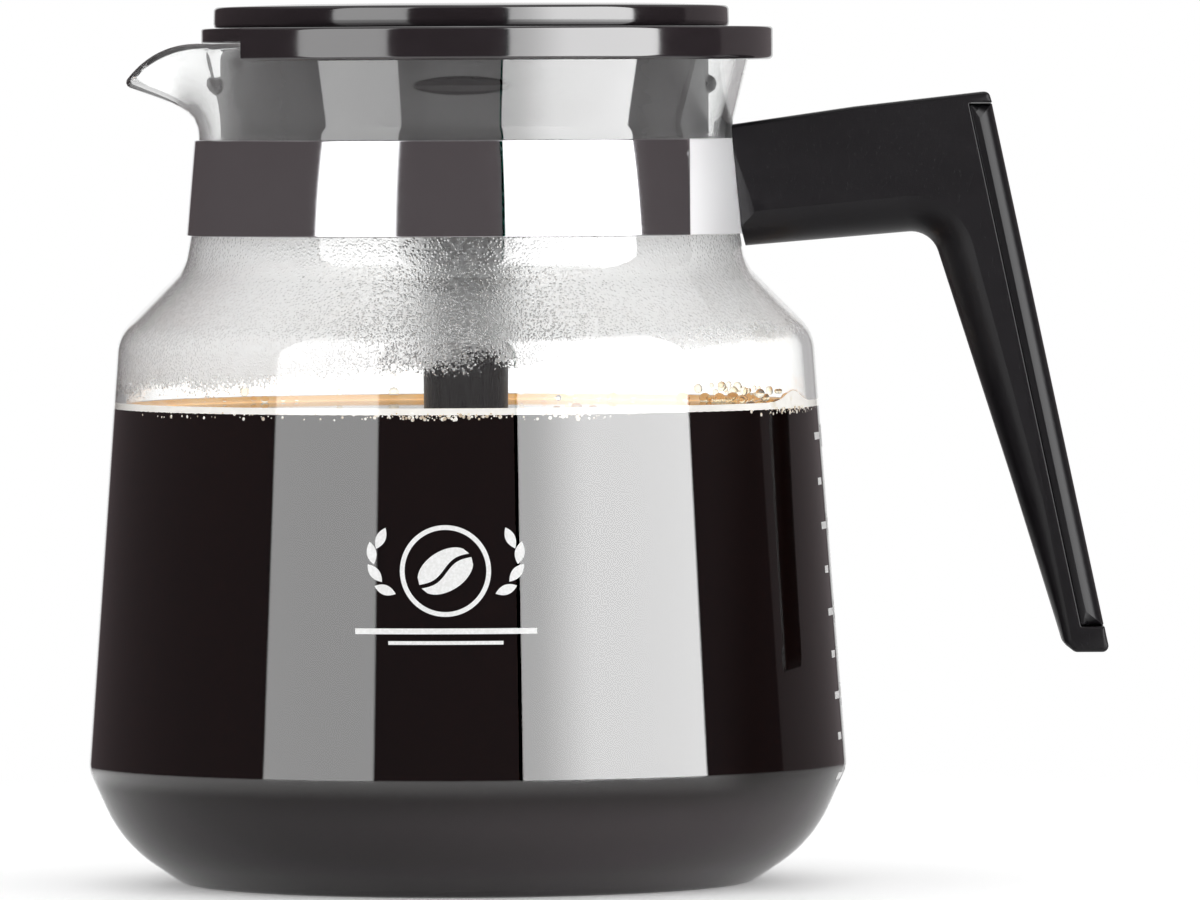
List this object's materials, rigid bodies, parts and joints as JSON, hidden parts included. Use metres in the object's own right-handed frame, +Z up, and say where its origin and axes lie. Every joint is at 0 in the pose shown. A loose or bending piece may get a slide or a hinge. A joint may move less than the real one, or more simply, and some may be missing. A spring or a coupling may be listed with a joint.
{
  "type": "glass coffee jug",
  "caption": "Glass coffee jug with a pouring lip, a steel neck band, an angled clamped handle and a lift-off lid with a long mixing tube.",
  "frame": {"origin": "centre of the jug's flat base, on the jug's axis, at the table surface", "axes": "+Z up along the jug's axis, +X towards the handle, -X towards the pouring lip"},
  "size_m": [0.1998, 0.1478, 0.1714],
  "materials": {
    "glass": "clear polished borosilicate",
    "liner": "translucent silicone strip",
    "polished_steel": "mirror polished stainless steel",
    "fastener_steel": "zinc plated",
    "handle_plastic": "fine satin moulding",
    "handle_cover_plastic": "semi-gloss moulding",
    "lid_plastic": "glossy moulding",
    "tube_plastic": "satin moulding"
  },
  "bodies": {
    "jug": {"glass_jug": "glass", "band_liner": "liner", "neck_band": "polished_steel", "clamp_block": "fastener_steel", "clamp_pin": "fastener_steel", "clamp_screw": "fastener_steel", "screw_washer": "fastener_steel", "handle_body": "handle_plastic", "handle_cover": "handle_cover_plastic"},
    "lid": {"lid_body": "lid_plastic", "lid_cover": "lid_plastic", "mixing_tube": "tube_plastic"}
  },
  "joints": [
    {"name": "lid_lift", "type": "slide", "parent": "jug", "child": "lid", "axis": [0, 0, 1], "range_m": [0, 0.16]}
  ]
}
